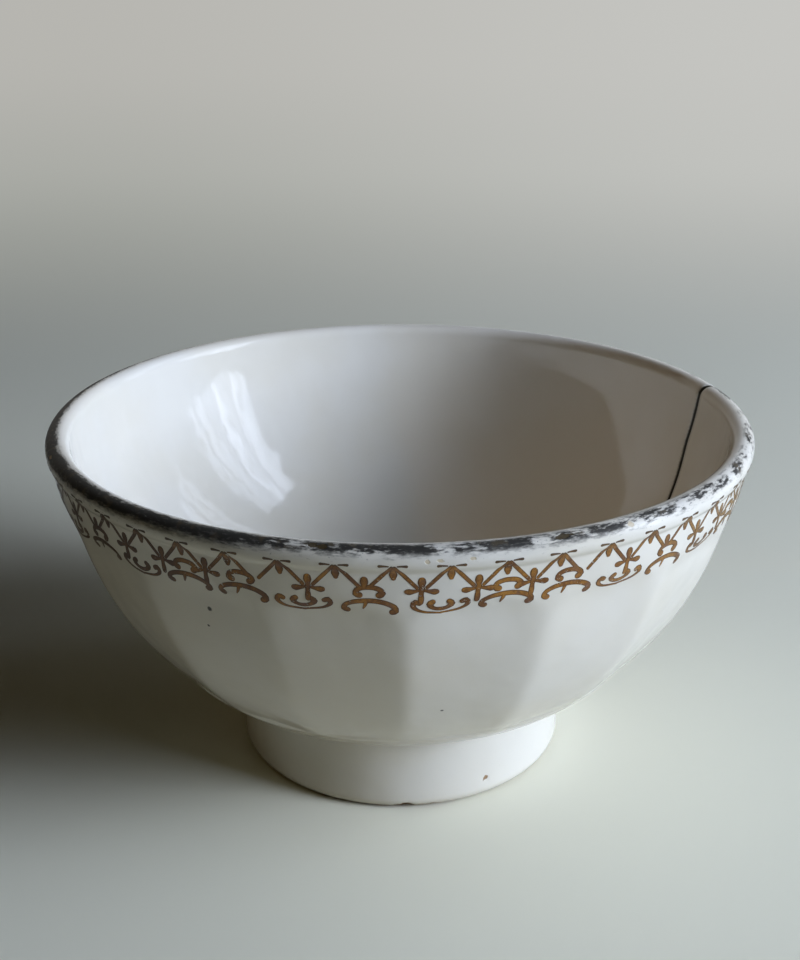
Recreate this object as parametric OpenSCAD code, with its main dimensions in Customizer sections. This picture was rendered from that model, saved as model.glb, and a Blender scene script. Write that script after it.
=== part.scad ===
// A cracked faceted bowl on a round foot, made and fired as one piece of glazed earthenware.
// The origin is at the middle of the ring it stands on, with +Z up. All sizes are in millimetres.

/* [Rim and wall] */
// Diameter over the outside of the lip
rim_d = 140; // [115:1:170]
// Height from the table to the top of the lip
bowl_h = 72.6; // [58:0.2:90]
// Thickness of the rounded lip
lip_t = 4.6; // [3.6:0.2:6]
// How far above the lip the wall's curve would turn upright, which sets how much it flares there
flare_h = 12.7; // [6:0.1:24]
// How far the wall bulges: 2 is part of an ellipse, and less is straighter
fullness = 2.17; // [1.7:0.01:2.6]
// How much shallower the inside curve is than the outside one, which thickens the lower wall
wall_drop = 7.5; // [5:0.5:9]

/* [Panels] */
// Number of flat panels around the wall
panels = 18; // [12:1:26]
// Where one of the edges between panels stands, in degrees round from -Y towards +X
panel_turn = 0.9; // [-10:0.1:10]
// How far the round skin blunts the edges between the panels
edge_blunt = 0.2; // [0.1:0.05:0.4]
// Depth from the lip's top to where the panels begin to fade into the round band
band_h = 15; // [8:0.5:24]
// Height over which the panels fade into the round band
fade_h = 6; // [3:0.5:10]
// Height of the plain round skin left under the panels
base_band = 4; // [2:0.1:6]

/* [Foot] */
// Diameter of the foot
foot_d = 68.6; // [54:0.2:84]
// Height of the foot, up to the underside of the body
foot_h = 18.6; // [14:0.2:24]
// How far the bottom edge of the body stands out past the foot
base_out = 10.6; // [9:0.1:14]
// How far the underside rises from the foot to the bottom edge of the body
base_rise = 3; // [1:0.5:5]
// Radius of the rounded bottom edge of the body
base_edge_r = 5; // [2:0.5:7]
// Radius of the hollow curve from the foot out to the underside
cove_r = 4; // [2:0.5:6]
// Radius of the foot's outer bottom edge
foot_edge_r = 2.4; // [1:0.1:3]
// Width of the flat ring that the bowl stands on
ring_w = 3.2; // [2:0.1:5]
// Depth of the hollow inside the foot
recess_h = 11; // [6:0.5:14]
// How far the side of that hollow leans in over its depth
recess_lean = 2.5; // [0:0.5:5]
// Thickness of the floor over the hollow, before the inside curve rounds it
floor_t = 5; // [4:0.5:8]

/* [Crack] */
// Direction of the crack where it crosses the lip, in degrees from +X towards +Y
crack_angle = 12.6; // [0:0.1:359]
// Width of the crack
crack_w = 0.6; // [0.4:0.1:1.2]
// Depth of the crack into the wall
crack_depth = 1; // [0.5:0.1:2]
// Height above the table where the crack dies out
crack_end_h = 34; // [26:1:60]
// How far the crack leans off the upright, in degrees
crack_lean = -6; // [-10:0.5:10]

/* [Chips] */
// Direction and size of each chip in the foot's bottom edge, as a list of [degrees, radius]
foot_chips = [[-91, 1.2], [-88, 1.6], [-79, 1], [141, 1.3]]; // degrees [-180:0.5:180], radius [0.4:0.1:2]
// Direction and size of each nick in the lip's outer edge, as a list of [degrees, radius]
lip_nicks = [[-101, 1], [-68, 0.9], [-57.5, 0.8], [81, 0.8]]; // degrees [-180:0.5:180], radius [0.4:0.1:1.4]

/* [Hidden] */
$fn = 96;

wall_steps = 18;
panel_steps = 14;
inside_steps = 26;
arc_steps = 8;
// The cutters reach this far past what they cut
spare = 2;

rim_r = rim_d / 2;
lip_r = lip_t / 2;
mouth_r = rim_r - lip_t;
lip_mid_r = rim_r - lip_r;
wall_top = bowl_h - lip_r;
turn_h = wall_top + flare_h;
foot_r = foot_d / 2;
base_r = foot_r + base_out;
base_h = foot_h + base_rise;
panel_base_h = base_h + base_band;
floor_h = recess_h + floor_t;
floor_blend = floor_t;
ring_out_r = foot_r - foot_edge_r;
ring_in_r = ring_out_r - ring_w;
recess_r = ring_in_r - recess_lean;
panel_half = 180 / panels;
fade_from = bowl_h - band_h;
wall_depth = (turn_h - base_h) / superellipse(base_r / rim_r);
inside_depth = wall_depth - wall_drop;
inside_r = mouth_r / superellipse(flare_h / inside_depth);

// The falling side of a unit superellipse
function superellipse(x) = pow(1 - pow(x, fullness), 1 / fullness);

// Radius of the outside skin at height z
function wall_r(z) = rim_r * superellipse((turn_h - z) / wall_depth);

// Height of the inside surface at radius r, where the wall's curve turns smoothly into the floor
function wall_in_h(r) = turn_h - inside_depth * superellipse(r / inside_r);
function smooth_max(a, b, k) = (a + b + sqrt((a - b) * (a - b) + k * k)) / 2;
function inside_h(r) = smooth_max(wall_in_h(r), floor_h, floor_blend);

function arc(cx, cy, r, from, to) = [
    for (i = [0 : arc_steps])
        let (a = from + (to - from) * i / arc_steps)
        [cx + r * cos(a), cy + r * sin(a)]
];

// Slopes of the wall and of the underside where they meet in the bottom edge of the body
wall_slope = atan2(1, wall_r(base_h + 1) - base_r);
under_slope = atan2(base_rise, base_out);
// Length that the rounding takes from each side of that corner
edge_trim = base_edge_r * tan((wall_slope - under_slope) / 2);
edge_mid_r = base_r - edge_trim * cos(under_slope) - base_edge_r * sin(under_slope);
edge_mid_h = base_h - edge_trim * sin(under_slope) + base_edge_r * cos(under_slope);
// The cove leaves room for the rounded edge outside it and for the foot's own edge under it
cove_used = min(cove_r, base_out - edge_trim - 1, foot_h - foot_edge_r);
cove_turn = 90 - under_slope;
// Where the cove's middle lies for it to run into both the foot's side and the sloping underside
cove_mid_r = foot_r + cove_used;
cove_mid_h = foot_h + (cove_used - cove_used * cos(cove_turn)) * tan(under_slope)
    - cove_used * sin(cove_turn);

// Heights at which the wall is sampled, closer together near the foot, where it curves most
wall_from = base_h + edge_trim * sin(wall_slope);
lip_turn = acos((wall_r(wall_top - lip_r) - lip_mid_r) / lip_r);
wall_to = wall_top - lip_r * sin(lip_turn);
function wall_z(i) = wall_from + (wall_to - wall_from) * pow(i / wall_steps, 1.35);

// Half of the bowl's section, from the axis under the floor, round the foot and lip, to the inside floor
hollow = [[0, recess_h], [recess_r, recess_h], [ring_in_r, 0]];
foot_edge = arc(ring_out_r, foot_edge_r, foot_edge_r, -90, 0);
cove = arc(cove_mid_r, cove_mid_h, cove_used, 180, 180 - cove_turn);
base_edge = arc(edge_mid_r, edge_mid_h, base_edge_r, under_slope - 90, wall_slope - 90);
outer_wall = [for (i = [1 : wall_steps - 1]) [wall_r(wall_z(i)), wall_z(i)]];
lip = arc(lip_mid_r, wall_top, lip_r, -lip_turn, 180);
inner_wall = [
    for (i = [inside_steps - 1 : -1 : 0])
        let (r = mouth_r * sin(90 * i / inside_steps))
        [r, inside_h(r)]
];
section = concat(hollow, foot_edge, cove, base_edge, outer_wall, lip, inner_wall);

// Distance of a panel's face from the axis at height z, which passes the skin where the panels fade out
function fade(z) = pow(max(0, z - fade_from) / fade_h, 2);
function panel_r(z) = (wall_r(z) + edge_blunt) * cos(panel_half)
    + fade(z) * rim_r * (1 - cos(panel_half));

// The whole round bowl, before the panels are shaved
module round_bowl() {
    rotate_extrude()
        polygon(section);
}

// What is shaved off the round skin to leave one flat panel, with a small step square to the wall below it
module panel_shaving() {
    top = fade_from + fade_h * 1.2;
    face = [
        for (i = [0 : panel_steps])
            let (z = panel_base_h + (top - panel_base_h) * i / panel_steps)
            [panel_r(z), z]
    ];
    reach = rim_r + spare;
    step_drop = (reach - panel_r(panel_base_h)) / tan(wall_slope);
    half_width = reach * tan(panel_half) + spare / 2;
    rotate([90, 0, 0])
        translate([0, 0, -half_width])
        linear_extrude(height = 2 * half_width)
        polygon(concat(face, [[reach, top], [reach, panel_base_h - step_drop]]));
}

// A thin leaning slab, kept to a skin on the inside wall and over the lip
module crack() {
    skin = [
        for (i = [inside_steps : -1 : 0])
            let (r = mouth_r * sin(90 * i / inside_steps))
            [r + crack_depth, inside_h(r) - crack_depth * r / mouth_r]
    ];
    over_lip = arc(lip_mid_r, wall_top, lip_r - crack_depth, 0, 180);
    outside = rim_r + 2 * spare;
    intersection() {
        rotate([0, 0, crack_angle])
            translate([rim_r, 0, bowl_h])
            rotate([crack_lean, 0, 0])
            translate([-rim_r, -crack_w / 2, crack_end_h - bowl_h])
            cube([rim_r + spare, crack_w, bowl_h]);
        difference() {
            translate([0, 0, crack_end_h])
                cylinder(h = bowl_h, r = rim_r + spare);
            rotate_extrude()
                polygon(concat(
                    [[crack_depth, 0], [outside, 0], [outside, wall_top]],
                    over_lip,
                    skin
                ));
        }
    }
}

// Small round bites out of an edge that lies at radius r and height z
module bites(list, r, z) {
    for (bite = list)
        rotate([0, 0, bite[0]])
            translate([r, 0, z])
            sphere(r = bite[1]);
}

module bowl() {
    color([0.93, 0.93, 0.90])
    difference() {
        round_bowl();
        for (i = [0 : panels - 1])
            rotate([0, 0, 360 * (i + 0.5) / panels - 90 + panel_turn])
            panel_shaving();
        crack();
        bites(foot_chips, foot_r - foot_edge_r * 0.2, 0);
        bites(lip_nicks, rim_r + 0.2, wall_top + lip_r * 0.4);
    }
}

bowl();
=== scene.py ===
"""A cracked, chipped and worn footed bowl with a gilt frieze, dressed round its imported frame."""

import logging
import math
from dataclasses import dataclass
from enum import Enum
from typing import Any, Sequence

import bpy
import numpy as np
from mathutils import Matrix, Vector


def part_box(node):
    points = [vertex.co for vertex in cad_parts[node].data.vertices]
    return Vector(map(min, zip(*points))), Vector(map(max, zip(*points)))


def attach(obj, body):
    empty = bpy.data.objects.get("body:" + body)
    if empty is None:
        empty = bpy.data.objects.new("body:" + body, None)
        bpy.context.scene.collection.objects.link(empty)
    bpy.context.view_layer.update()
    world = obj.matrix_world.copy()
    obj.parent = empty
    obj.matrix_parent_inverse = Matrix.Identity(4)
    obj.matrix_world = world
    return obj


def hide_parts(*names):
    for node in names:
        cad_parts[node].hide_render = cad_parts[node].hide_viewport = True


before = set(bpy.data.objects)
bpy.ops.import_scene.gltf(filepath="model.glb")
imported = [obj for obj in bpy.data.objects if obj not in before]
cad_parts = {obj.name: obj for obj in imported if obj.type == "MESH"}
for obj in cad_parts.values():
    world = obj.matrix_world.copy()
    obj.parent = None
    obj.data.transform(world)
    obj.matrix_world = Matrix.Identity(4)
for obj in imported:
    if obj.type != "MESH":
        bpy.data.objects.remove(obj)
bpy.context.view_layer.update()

MM = 0.001
LOG = logging.getLogger("bowl")

Colour = tuple[float, float, float]
Place = tuple[float, float, float]


class Kind(Enum):
    """The scrolls that hang under the gilt zigzag."""

    SMILE = "smile"
    ARCH = "arch"


class Value:
    """A number or a colour in a material, on which plain arithmetic adds the nodes."""

    def __init__(self, paint: "Paint", socket: Any) -> None:
        """Keeps the socket and the paint that it belongs to."""
        self.paint = paint
        self.socket = socket

    def _math(self, operation: str, *others: Any) -> "Value":
        """Adds one Math node that starts from this value."""
        return self.paint.math(operation, self, *others)

    def __add__(self, other: Any) -> "Value":
        """This plus other."""
        return self._math("ADD", other)

    __radd__ = __add__

    def __sub__(self, other: Any) -> "Value":
        """This less other."""
        return self._math("SUBTRACT", other)

    def __rsub__(self, other: Any) -> "Value":
        """Other less this."""
        return self.paint.math("SUBTRACT", other, self)

    def __mul__(self, other: Any) -> "Value":
        """This times other."""
        return self._math("MULTIPLY", other)

    __rmul__ = __mul__

    def __truediv__(self, other: Any) -> "Value":
        """This over other."""
        return self._math("DIVIDE", other)

    def __rtruediv__(self, other: Any) -> "Value":
        """Other over this."""
        return self.paint.math("DIVIDE", other, self)

    def __pow__(self, other: Any) -> "Value":
        """This to the power of other."""
        return self._math("POWER", other)

    def __abs__(self) -> "Value":
        """The size of this value."""
        return self._math("ABSOLUTE")


class Paint:
    """The node tree of one material, or of the air."""

    def __init__(self, owner: Any) -> None:
        """Empties the node tree of a new material or world.

        Args:
            owner: The material or world.
        """
        self.owner = owner
        self.owner.use_nodes = True
        self.tree = self.owner.node_tree
        self.tree.nodes.clear()

    def add(self, kind: str, settings: dict[str, Any] | None = None,
            sockets: dict[Any, Any] | None = None, out: Any = 0) -> Value:
        """Adds one node.

        Args:
            kind: The node's type, without the ShaderNode in front.
            settings: Its settings, and "stops" for a ramp's places and colours.
            sockets: Numbers, colours or values for its inputs, by name or index.
            out: The output to give back.

        Returns:
            The value of that output.
        """
        node = self.tree.nodes.new("ShaderNode" + kind)
        for name, setting in (settings or {}).items():
            if name == "stops":
                self._set_stops(node.color_ramp, setting)
            else:
                setattr(node, name, setting)
        for name, wanted in (sockets or {}).items():
            if isinstance(wanted, Value):
                self.tree.links.new(wanted.socket, node.inputs[name])
            else:
                node.inputs[name].default_value = wanted
        return Value(self, node.outputs[out] if len(node.outputs) else None)

    @staticmethod
    def _set_stops(ramp: Any, stops: Sequence[tuple[float, Any]]) -> None:
        """Gives a colour ramp its stops.

        Args:
            ramp: The ramp.
            stops: Each stop as its place and its colour or grey, in rising order.
        """
        while len(ramp.elements) < len(stops):
            ramp.elements.new(1.0)
        for element, (place, shade) in zip(ramp.elements, stops):
            element.position = place
            element.color = (shade, shade, shade, 1.0) if isinstance(shade, float) else (*shade, 1.0)

    def math(self, operation: str, *values: Any) -> Value:
        """Adds one Math node on the given values."""
        return self.add("Math", {"operation": operation}, dict(enumerate(values)))

    def most(self, a: Any, b: Any) -> Value:
        """The larger of two values."""
        return self.math("MAXIMUM", a, b)

    def rise(self, value: Any, low: float, high: float) -> Value:
        """Adds a smooth step up.

        Args:
            value: What it follows.
            low: The value at which it is still 0.
            high: The value at which it has reached 1.

        Returns:
            The step, from 0 to 1.
        """
        return self.add("MapRange", {"interpolation_type": "SMOOTHSTEP"},
                        {"Value": value, "From Min": low, "From Max": high})

    def fall(self, value: Any, low: float, high: float) -> Value:
        """Adds a smooth step down.

        Args:
            value: What it follows.
            low: The value at which it is still 1.
            high: The value at which it has reached 0.

        Returns:
            The step, from 1 to 0.
        """
        return self.add("MapRange", {"interpolation_type": "SMOOTHSTEP"},
                        {"Value": value, "From Min": low, "From Max": high,
                         "To Min": 1.0, "To Max": 0.0})

    def noise(self, place: Value, scale: float, detail: float = 3.0, roughness: float = 0.5) -> Value:
        """Noise from about 0 to 1, with scale in waves to the millimetre."""
        return self.add("TexNoise", {}, {"Vector": place, "Scale": scale, "Detail": detail,
                                         "Roughness": roughness})

    def ramp(self, value: Value, stops: Sequence[tuple[float, Any]]) -> Value:
        """Turns a value into a colour or a grey by a colour ramp."""
        return self.add("ValToRGB", {"stops": stops}, {"Fac": value})

    def mix(self, factor: Any, first: Any, second: Any) -> Value:
        """Mixes two colours: all first at 0 and all second at 1."""
        colours = [c if isinstance(c, Value) else (*c, 1.0) for c in (first, second)]
        return self.add("Mix", {"data_type": "RGBA"}, {0: factor, 6: colours[0], 7: colours[1]}, out=2)

    def place(self) -> Value:
        """The place on the piece in millimetres."""
        spot = self.add("TexCoord", out="Object")
        return self.add("VectorMath", {"operation": "SCALE"}, {0: spot, "Scale": 1 / MM})

    def split(self, place: Value) -> tuple[Value, Value, Value]:
        """The x, y and z of a place."""
        node = self.add("SeparateXYZ", {}, {0: place}).socket.node
        return tuple(Value(self, socket) for socket in node.outputs)

    def join(self, x: Any, y: Any, z: Any) -> Value:
        """A place made from its x, y and z."""
        return self.add("CombineXYZ", {}, {0: x, 1: y, 2: z})

    def stretched(self, place: Value, by: Sequence[float]) -> Value:
        """A place multiplied by a number along each axis."""
        return self.add("VectorMath", {"operation": "MULTIPLY"}, {0: place, 1: tuple(by)})

    def distance(self, place: Value, point: Sequence[float]) -> Value:
        """How far a place is from a fixed point."""
        return self.add("VectorMath", {"operation": "DISTANCE"}, {0: place, 1: tuple(point)}, out="Value")

    def bump(self, height: Value, depth: float, under: Value | None = None) -> Value:
        """Adds a Bump node.

        Args:
            height: The relief, from 0 to 1.
            depth: How deep that is, in millimetres.
            under: An earlier bump that it is laid over.

        Returns:
            The normal.
        """
        sockets = {"Height": height, "Distance": depth * MM, "Strength": 1.0}
        if under is not None:
            sockets["Normal"] = under
        return self.add("Bump", {}, sockets)

    def shader(self, sockets: dict[str, Any], glow: Any = None, seen: Any = 0.0) -> bpy.types.Material:
        """Adds the surface shader and the output.

        Args:
            sockets: The inputs of the Principled shader.
            glow: A colour to show in its place, if any.
            seen: How much of that colour shows, from 0 to 1.

        Returns:
            The finished material.
        """
        surface = self.add("BsdfPrincipled", {}, sockets)
        if glow is not None:
            shown = self.add("Emission", {}, {"Color": glow})
            surface = self.add("MixShader", {}, {0: seen, 1: surface, 2: shown})
        self.add("OutputMaterial", {}, {"Surface": surface})
        return self.owner


def clear_selection() -> None:
    """Leaves nothing selected, in object mode."""
    if bpy.context.object and bpy.context.object.mode != "OBJECT":
        bpy.ops.object.mode_set(mode="OBJECT")
    bpy.ops.object.select_all(action="DESELECT")


def spots_of(piece: bpy.types.Object) -> np.ndarray:
    """Reads the vertices of a mesh.

    Args:
        piece: The object with the mesh.

    Returns:
        Their places, one row each, in millimetres.
    """
    flat = np.empty(len(piece.data.vertices) * 3, dtype=np.float32)
    piece.data.vertices.foreach_get("co", flat)
    return flat.reshape(-1, 3).astype(float) / MM


def move_spots(piece: bpy.types.Object, spots: np.ndarray) -> None:
    """Puts the vertices of a mesh at new places, given in millimetres."""
    piece.data.vertices.foreach_set("co", (spots * MM).astype(np.float32).ravel())
    piece.data.update()


def angle_from_front(x: Any, y: Any) -> Any:
    """Degrees round from the front, which is -Y, towards +X."""
    return np.degrees(np.arctan2(x, -y))


def ease(value: Any, low: float, high: float) -> Any:
    """A smooth step from 0 at low to 1 at high."""
    t = np.clip((value - low) / (high - low), 0.0, 1.0)
    return t * t * (3 - 2 * t)


@dataclass
class Chip:
    """A flake knocked off an edge.

    Args:
        turn: Degrees round from the front.
        radius: Distance of its middle from the axis.
        height: Height of its middle.
        size: Radius of the hollow that it leaves.
    """

    turn: float
    radius: float
    height: float
    size: float

    def middle(self) -> Place:
        """The middle of the hollow, in millimetres."""
        a = math.radians(self.turn)
        return (self.radius * math.sin(a), -self.radius * math.cos(a), self.height)


@dataclass
class CrackLine:
    """The line that the crack takes down the inside wall.

    Args:
        turn: Degrees round from the front where it crosses the lip.
        bend_from: Height at which it starts to bend away.
        lean: Degrees that it moves round for each millimetre down, lower on.
        end: Height where it dies out.
        width: Width of the open crack.
        depth: Depth of its groove.
    """

    turn: float = 102.6
    bend_from: float = 61.0
    lean: float = 0.29
    end: float = 33.0
    width: float = 0.80
    depth: float = 0.5

    def at(self, height: Any) -> Any:
        """Degrees round from the front at a height, for numbers and material values alike."""
        drop = (abs(self.bend_from - height) + (self.bend_from - height)) * 0.5
        return self.turn - self.lean * (drop * drop) / (drop + 2.0)


@dataclass
class BowlForm:
    """The sizes and curves of the bowl, in millimetres.

    Args:
        rim_r: Radius over the lip.
        height: Height to the top of the lip.
        lip_t: Thickness of the rounded lip.
        flare: How far above the lip the wall's curve would turn upright.
        fullness: How far the wall bulges, where 2 is part of an ellipse.
        wall_drop: How much shallower the inside curve is than the outside one.
        panels: Number of flat panels.
        panel_turn: Turn of one of the edges between them.
        edge_blunt: How far the round skin blunts those edges.
        edge_round: How softly those edges turn.
        panel_soft: How softly a panel runs out into the round skin.
        band_h: Depth from the lip's top to where the panels begin to fade.
        fade_h: Height over which they fade.
        base_band: Height of the round skin left under them.
        foot_r: Radius of the foot.
        foot_h: Height of the foot.
        base_out: How far the body's bottom edge stands out past the foot.
        base_rise: How far the underside rises on the way there.
        base_edge_r: Radius of the body's bottom edge.
        cove_r: Radius of the hollow curve from the foot to the underside.
        foot_edge_r: Radius of the foot's bottom edge.
        ring_w: Width of the ring that the bowl stands on.
        recess_h: Depth of the hollow in the foot.
        recess_lean: How far that hollow's side leans in.
        recess_edge_r: Radius of that hollow's inner corner.
        floor_t: Thickness of the floor.
        low_side_h: Height below which the foot's side has closer rows.
        blend_h: Height over which the lip runs into the inside wall.
    """

    rim_r: float
    height: float
    lip_t: float = 4.6
    flare: float = 12.7
    fullness: float = 2.17
    wall_drop: float = 7.5
    panels: int = 18
    panel_turn: float = 0.93
    edge_blunt: float = 0.2
    edge_round: float = 0.0075
    panel_soft: float = 0.12
    band_h: float = 15.0
    fade_h: float = 6.0
    base_band: float = 4.0
    foot_r: float = 34.3
    foot_h: float = 18.6
    base_out: float = 10.6
    base_rise: float = 3.0
    base_edge_r: float = 5.0
    cove_r: float = 4.0
    foot_edge_r: float = 2.4
    ring_w: float = 3.2
    recess_h: float = 11.0
    recess_lean: float = 2.5
    recess_edge_r: float = 1.6
    floor_t: float = 5.0
    low_side_h: float = 6.0
    blend_h: float = 9.0

    def __post_init__(self) -> None:
        """Works out the sizes that follow from the others."""
        self.lip_r = self.lip_t / 2
        self.lip_mid_r = self.rim_r - self.lip_r
        self.lip_mid_h = self.height - self.lip_r
        self.mouth_r = self.rim_r - self.lip_t
        self.turn_h = self.lip_mid_h + self.flare
        self.base_r = self.foot_r + self.base_out
        self.base_h = self.foot_h + self.base_rise
        self.panel_h = self.base_h + self.base_band
        self.fade_from = self.height - self.band_h
        self.half = math.pi / self.panels
        self.depth = (self.turn_h - self.base_h) / self.curve(self.base_r / self.rim_r)
        self.inside_depth = self.depth - self.wall_drop
        self.inside_r = self.mouth_r / self.curve(self.flare / self.inside_depth)
        self.floor_h = self.recess_h + self.floor_t

    def curve(self, x: Any) -> Any:
        """The falling side of a unit superellipse."""
        return (1 - np.clip(x, 0, 1) ** self.fullness) ** (1 / self.fullness)

    def wall(self, z: Any) -> Any:
        """Radius of the round outside skin at height z."""
        return self.rim_r * self.curve((self.turn_h - z) / self.depth)

    def inside(self, r: Any) -> Any:
        """Finds the inside surface, where the wall turns smoothly into the floor.

        Args:
            r: Distance from the axis.

        Returns:
            The height there.
        """
        wall = self.turn_h - self.inside_depth * self.curve(r / self.inside_r)
        gap = wall - self.floor_h
        return (wall + self.floor_h + np.sqrt(gap * gap + self.floor_t ** 2)) / 2

    def lip_bulge(self, z: Any) -> Any:
        """Radius of the lip's outside at height z, and zero above and below it."""
        rise = np.clip(self.lip_r ** 2 - (z - self.lip_mid_h) ** 2, 0, None)
        return np.where(rise > 0, self.lip_mid_r + np.sqrt(rise), 0.0)

    def skin(self, z: Any) -> Any:
        """Finds the round outside, with the hollow under the lip filled out softly.

        Args:
            z: Height, or an array of heights.

        Returns:
            The radius there.
        """
        wall, lip = self.wall(z), self.lip_bulge(z)
        soft = 0.36 * ease(z, self.lip_mid_h - 3.5, self.lip_mid_h - 1.5) * (
            1 - ease(z, self.lip_mid_h - 1.1, self.lip_mid_h - 0.1))
        return (wall + lip + np.sqrt((wall - lip) ** 2 + soft ** 2)) / 2

    def panelled(self, r: Any, z: Any, turn: Any) -> Any:
        """Shaves the panels off the round skin, with blunt edges between them.

        Args:
            r: Radius of the round skin.
            z: Height.
            turn: Degrees round from the front.

        Returns:
            The radius once the panels are there.
        """
        step = 2 * self.half
        off = np.radians(turn - self.panel_turn)
        off = np.abs((off + self.half) % step - self.half)
        near, far = np.cos(self.half - off), np.cos(self.half + off)
        blunt = (near + far + np.sqrt((near - far) ** 2 + self.edge_round ** 2)) / 2
        fade = np.clip((z - self.fade_from) / self.fade_h, 0, None) ** 2
        flat = (r + self.edge_blunt) * math.cos(self.half) + fade * self.rim_r * (1 - math.cos(self.half))
        face = flat / blunt
        shaved = (face + r - np.sqrt((face - r) ** 2 + self.panel_soft ** 2)) / 2
        begun = ease(z, self.panel_h - 0.9, self.panel_h + 0.3)
        inside = begun * (1 - ease(z, self.fade_from + 7, self.fade_from + 9))
        return r + (shaved - r) * inside

    def outside(self, turn: Any, z: Any) -> Any:
        """Radius of the finished outside at height z and turn."""
        return self.panelled(self.skin(z), z, turn)

    @staticmethod
    def arc(r: float, z: float, radius: float, start: float, end: float,
            count: int) -> list[tuple[float, float]]:
        """Draws an arc of the section.

        Args:
            r: Distance of its middle from the axis.
            z: Height of its middle.
            radius: Its radius.
            start: Degrees at which it starts, with 0 outwards and 90 upwards.
            end: Degrees at which it ends.
            count: How many points it gets.

        Returns:
            The points as (radius, height).
        """
        turns = [math.radians(start + (end - start) * i / (count - 1)) for i in range(count)]
        return [(r + radius * math.cos(a), z + radius * math.sin(a)) for a in turns]

    def foot_section(self) -> list[tuple[float, float]]:
        """Draws the section from the axis under the floor, down the hollow, and up the foot's side.

        Returns:
            The points as (radius, height), up to where the cove starts.
        """
        ring_out = self.foot_r - self.foot_edge_r
        ring_in = ring_out - self.ring_w
        lean = math.degrees(math.atan2(self.recess_h, self.recess_lean))
        recess_mid = ring_in - self.recess_lean - self.recess_edge_r * math.tan(math.radians(lean) / 2)
        corner_h = self.recess_h - self.recess_edge_r
        steps, cut_in, cut_up = 8, 0.15, 0.25

        points = [(r, self.recess_h) for r in np.linspace(0, recess_mid, 12)]
        points += self.arc(recess_mid, corner_h, self.recess_edge_r, 90, 90 - lean, 6)[1:]
        top_r, top_h = points[-1]
        points += [(top_r + (ring_in - cut_in - top_r) * i / steps,
                    top_h * (1 - i / steps) + cut_up * i / steps) for i in range(1, steps + 1)]
        points += [(r, 0.0) for r in np.linspace(ring_in + cut_in, ring_out, 6)]
        points += self.arc(ring_out, self.foot_edge_r, self.foot_edge_r, -90, 0, 11)[1:]
        points += [(self.foot_r, z) for z in np.linspace(self.foot_edge_r, self.low_side_h, 10)[1:]]
        return points

    def wall_section(self) -> list[tuple[float, float]]:
        """Draws the section up the rest of the foot's side, under the body and up the outside wall.

        Returns:
            The points as (radius, height), up to where the lip starts.
        """
        wall_slope = math.degrees(math.atan2(1, self.wall(self.base_h + 1) - self.base_r))
        under = math.degrees(math.atan2(self.base_rise, self.base_out))
        tilt = math.radians(under)
        trim = self.base_edge_r * math.tan(math.radians(wall_slope - under) / 2)
        edge_r = self.base_r - trim * math.cos(tilt) - self.base_edge_r * math.sin(tilt)
        edge_h = self.base_h - trim * math.sin(tilt) + self.base_edge_r * math.cos(tilt)
        cove_turn = 90 - under
        turned = math.radians(cove_turn)
        cove_h = (self.foot_h + self.cove_r * (1 - math.cos(turned)) * math.tan(tilt)
                  - self.cove_r * math.sin(turned))
        start = self.base_h + trim * math.sin(math.radians(wall_slope))
        stop = self.lip_mid_h - self.lip_r * math.sin(math.radians(self.lip_turn()))
        panels_from = self.panel_h + 0.6
        neck = self.lip_mid_h - 3.8

        points = [(self.foot_r, z) for z in np.linspace(self.low_side_h, cove_h, 8)[1:-1]]
        points += self.arc(self.foot_r + self.cove_r, cove_h, self.cove_r, 180, 180 - cove_turn, 10)
        points += self.arc(edge_r, edge_h, self.base_edge_r, under - 90, wall_slope - 90, 9)
        fine = list(np.linspace(start, panels_from, 12)[1:])
        coarse = list(np.linspace(panels_from, neck, 37)[1:])
        close = list(np.linspace(neck, stop, 15)[1:-1])
        points += [(float(self.skin(z)), z) for z in fine + coarse + close]
        return points

    def lip_turn(self) -> float:
        """Degrees below level at which the lip's arc meets the outside wall."""
        join = self.lip_mid_h - self.lip_r
        return math.degrees(math.acos((self.wall(join) - self.lip_mid_r) / self.lip_r))

    def mouth_section(self) -> list[tuple[float, float]]:
        """Draws the section over the lip and down the inside wall to the middle of the floor.

        Returns:
            The points as (radius, height).
        """
        slope = float(self.inside(self.mouth_r) - self.inside(self.mouth_r - 0.5)) / 0.5
        lip_end = 90 + math.degrees(math.atan(slope))
        arc = self.arc(self.lip_mid_r, self.lip_mid_h, self.lip_r, -self.lip_turn(), lip_end, 27)
        points = [(float(self.skin(z)), z) if z < self.lip_mid_h else (r, z) for r, z in arc]
        end_r, end_h = points[-1]
        reach = self.mouth_r + (end_h - float(self.inside(self.mouth_r))) / slope
        for a in np.radians(np.concatenate([np.linspace(90, 60, 26)[1:], np.linspace(60, 0, 26)[1:]])):
            r = reach * math.sin(a)
            z = float(self.inside(r))
            points.append((r - (reach - end_r) * float(ease(z, end_h - self.blend_h, end_h)), z))
        return points

    def section(self) -> list[tuple[float, float]]:
        """Half of the section, from the axis under the floor, round the foot and lip, to the inside floor."""
        return self.foot_section() + self.wall_section() + self.mouth_section()


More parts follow.
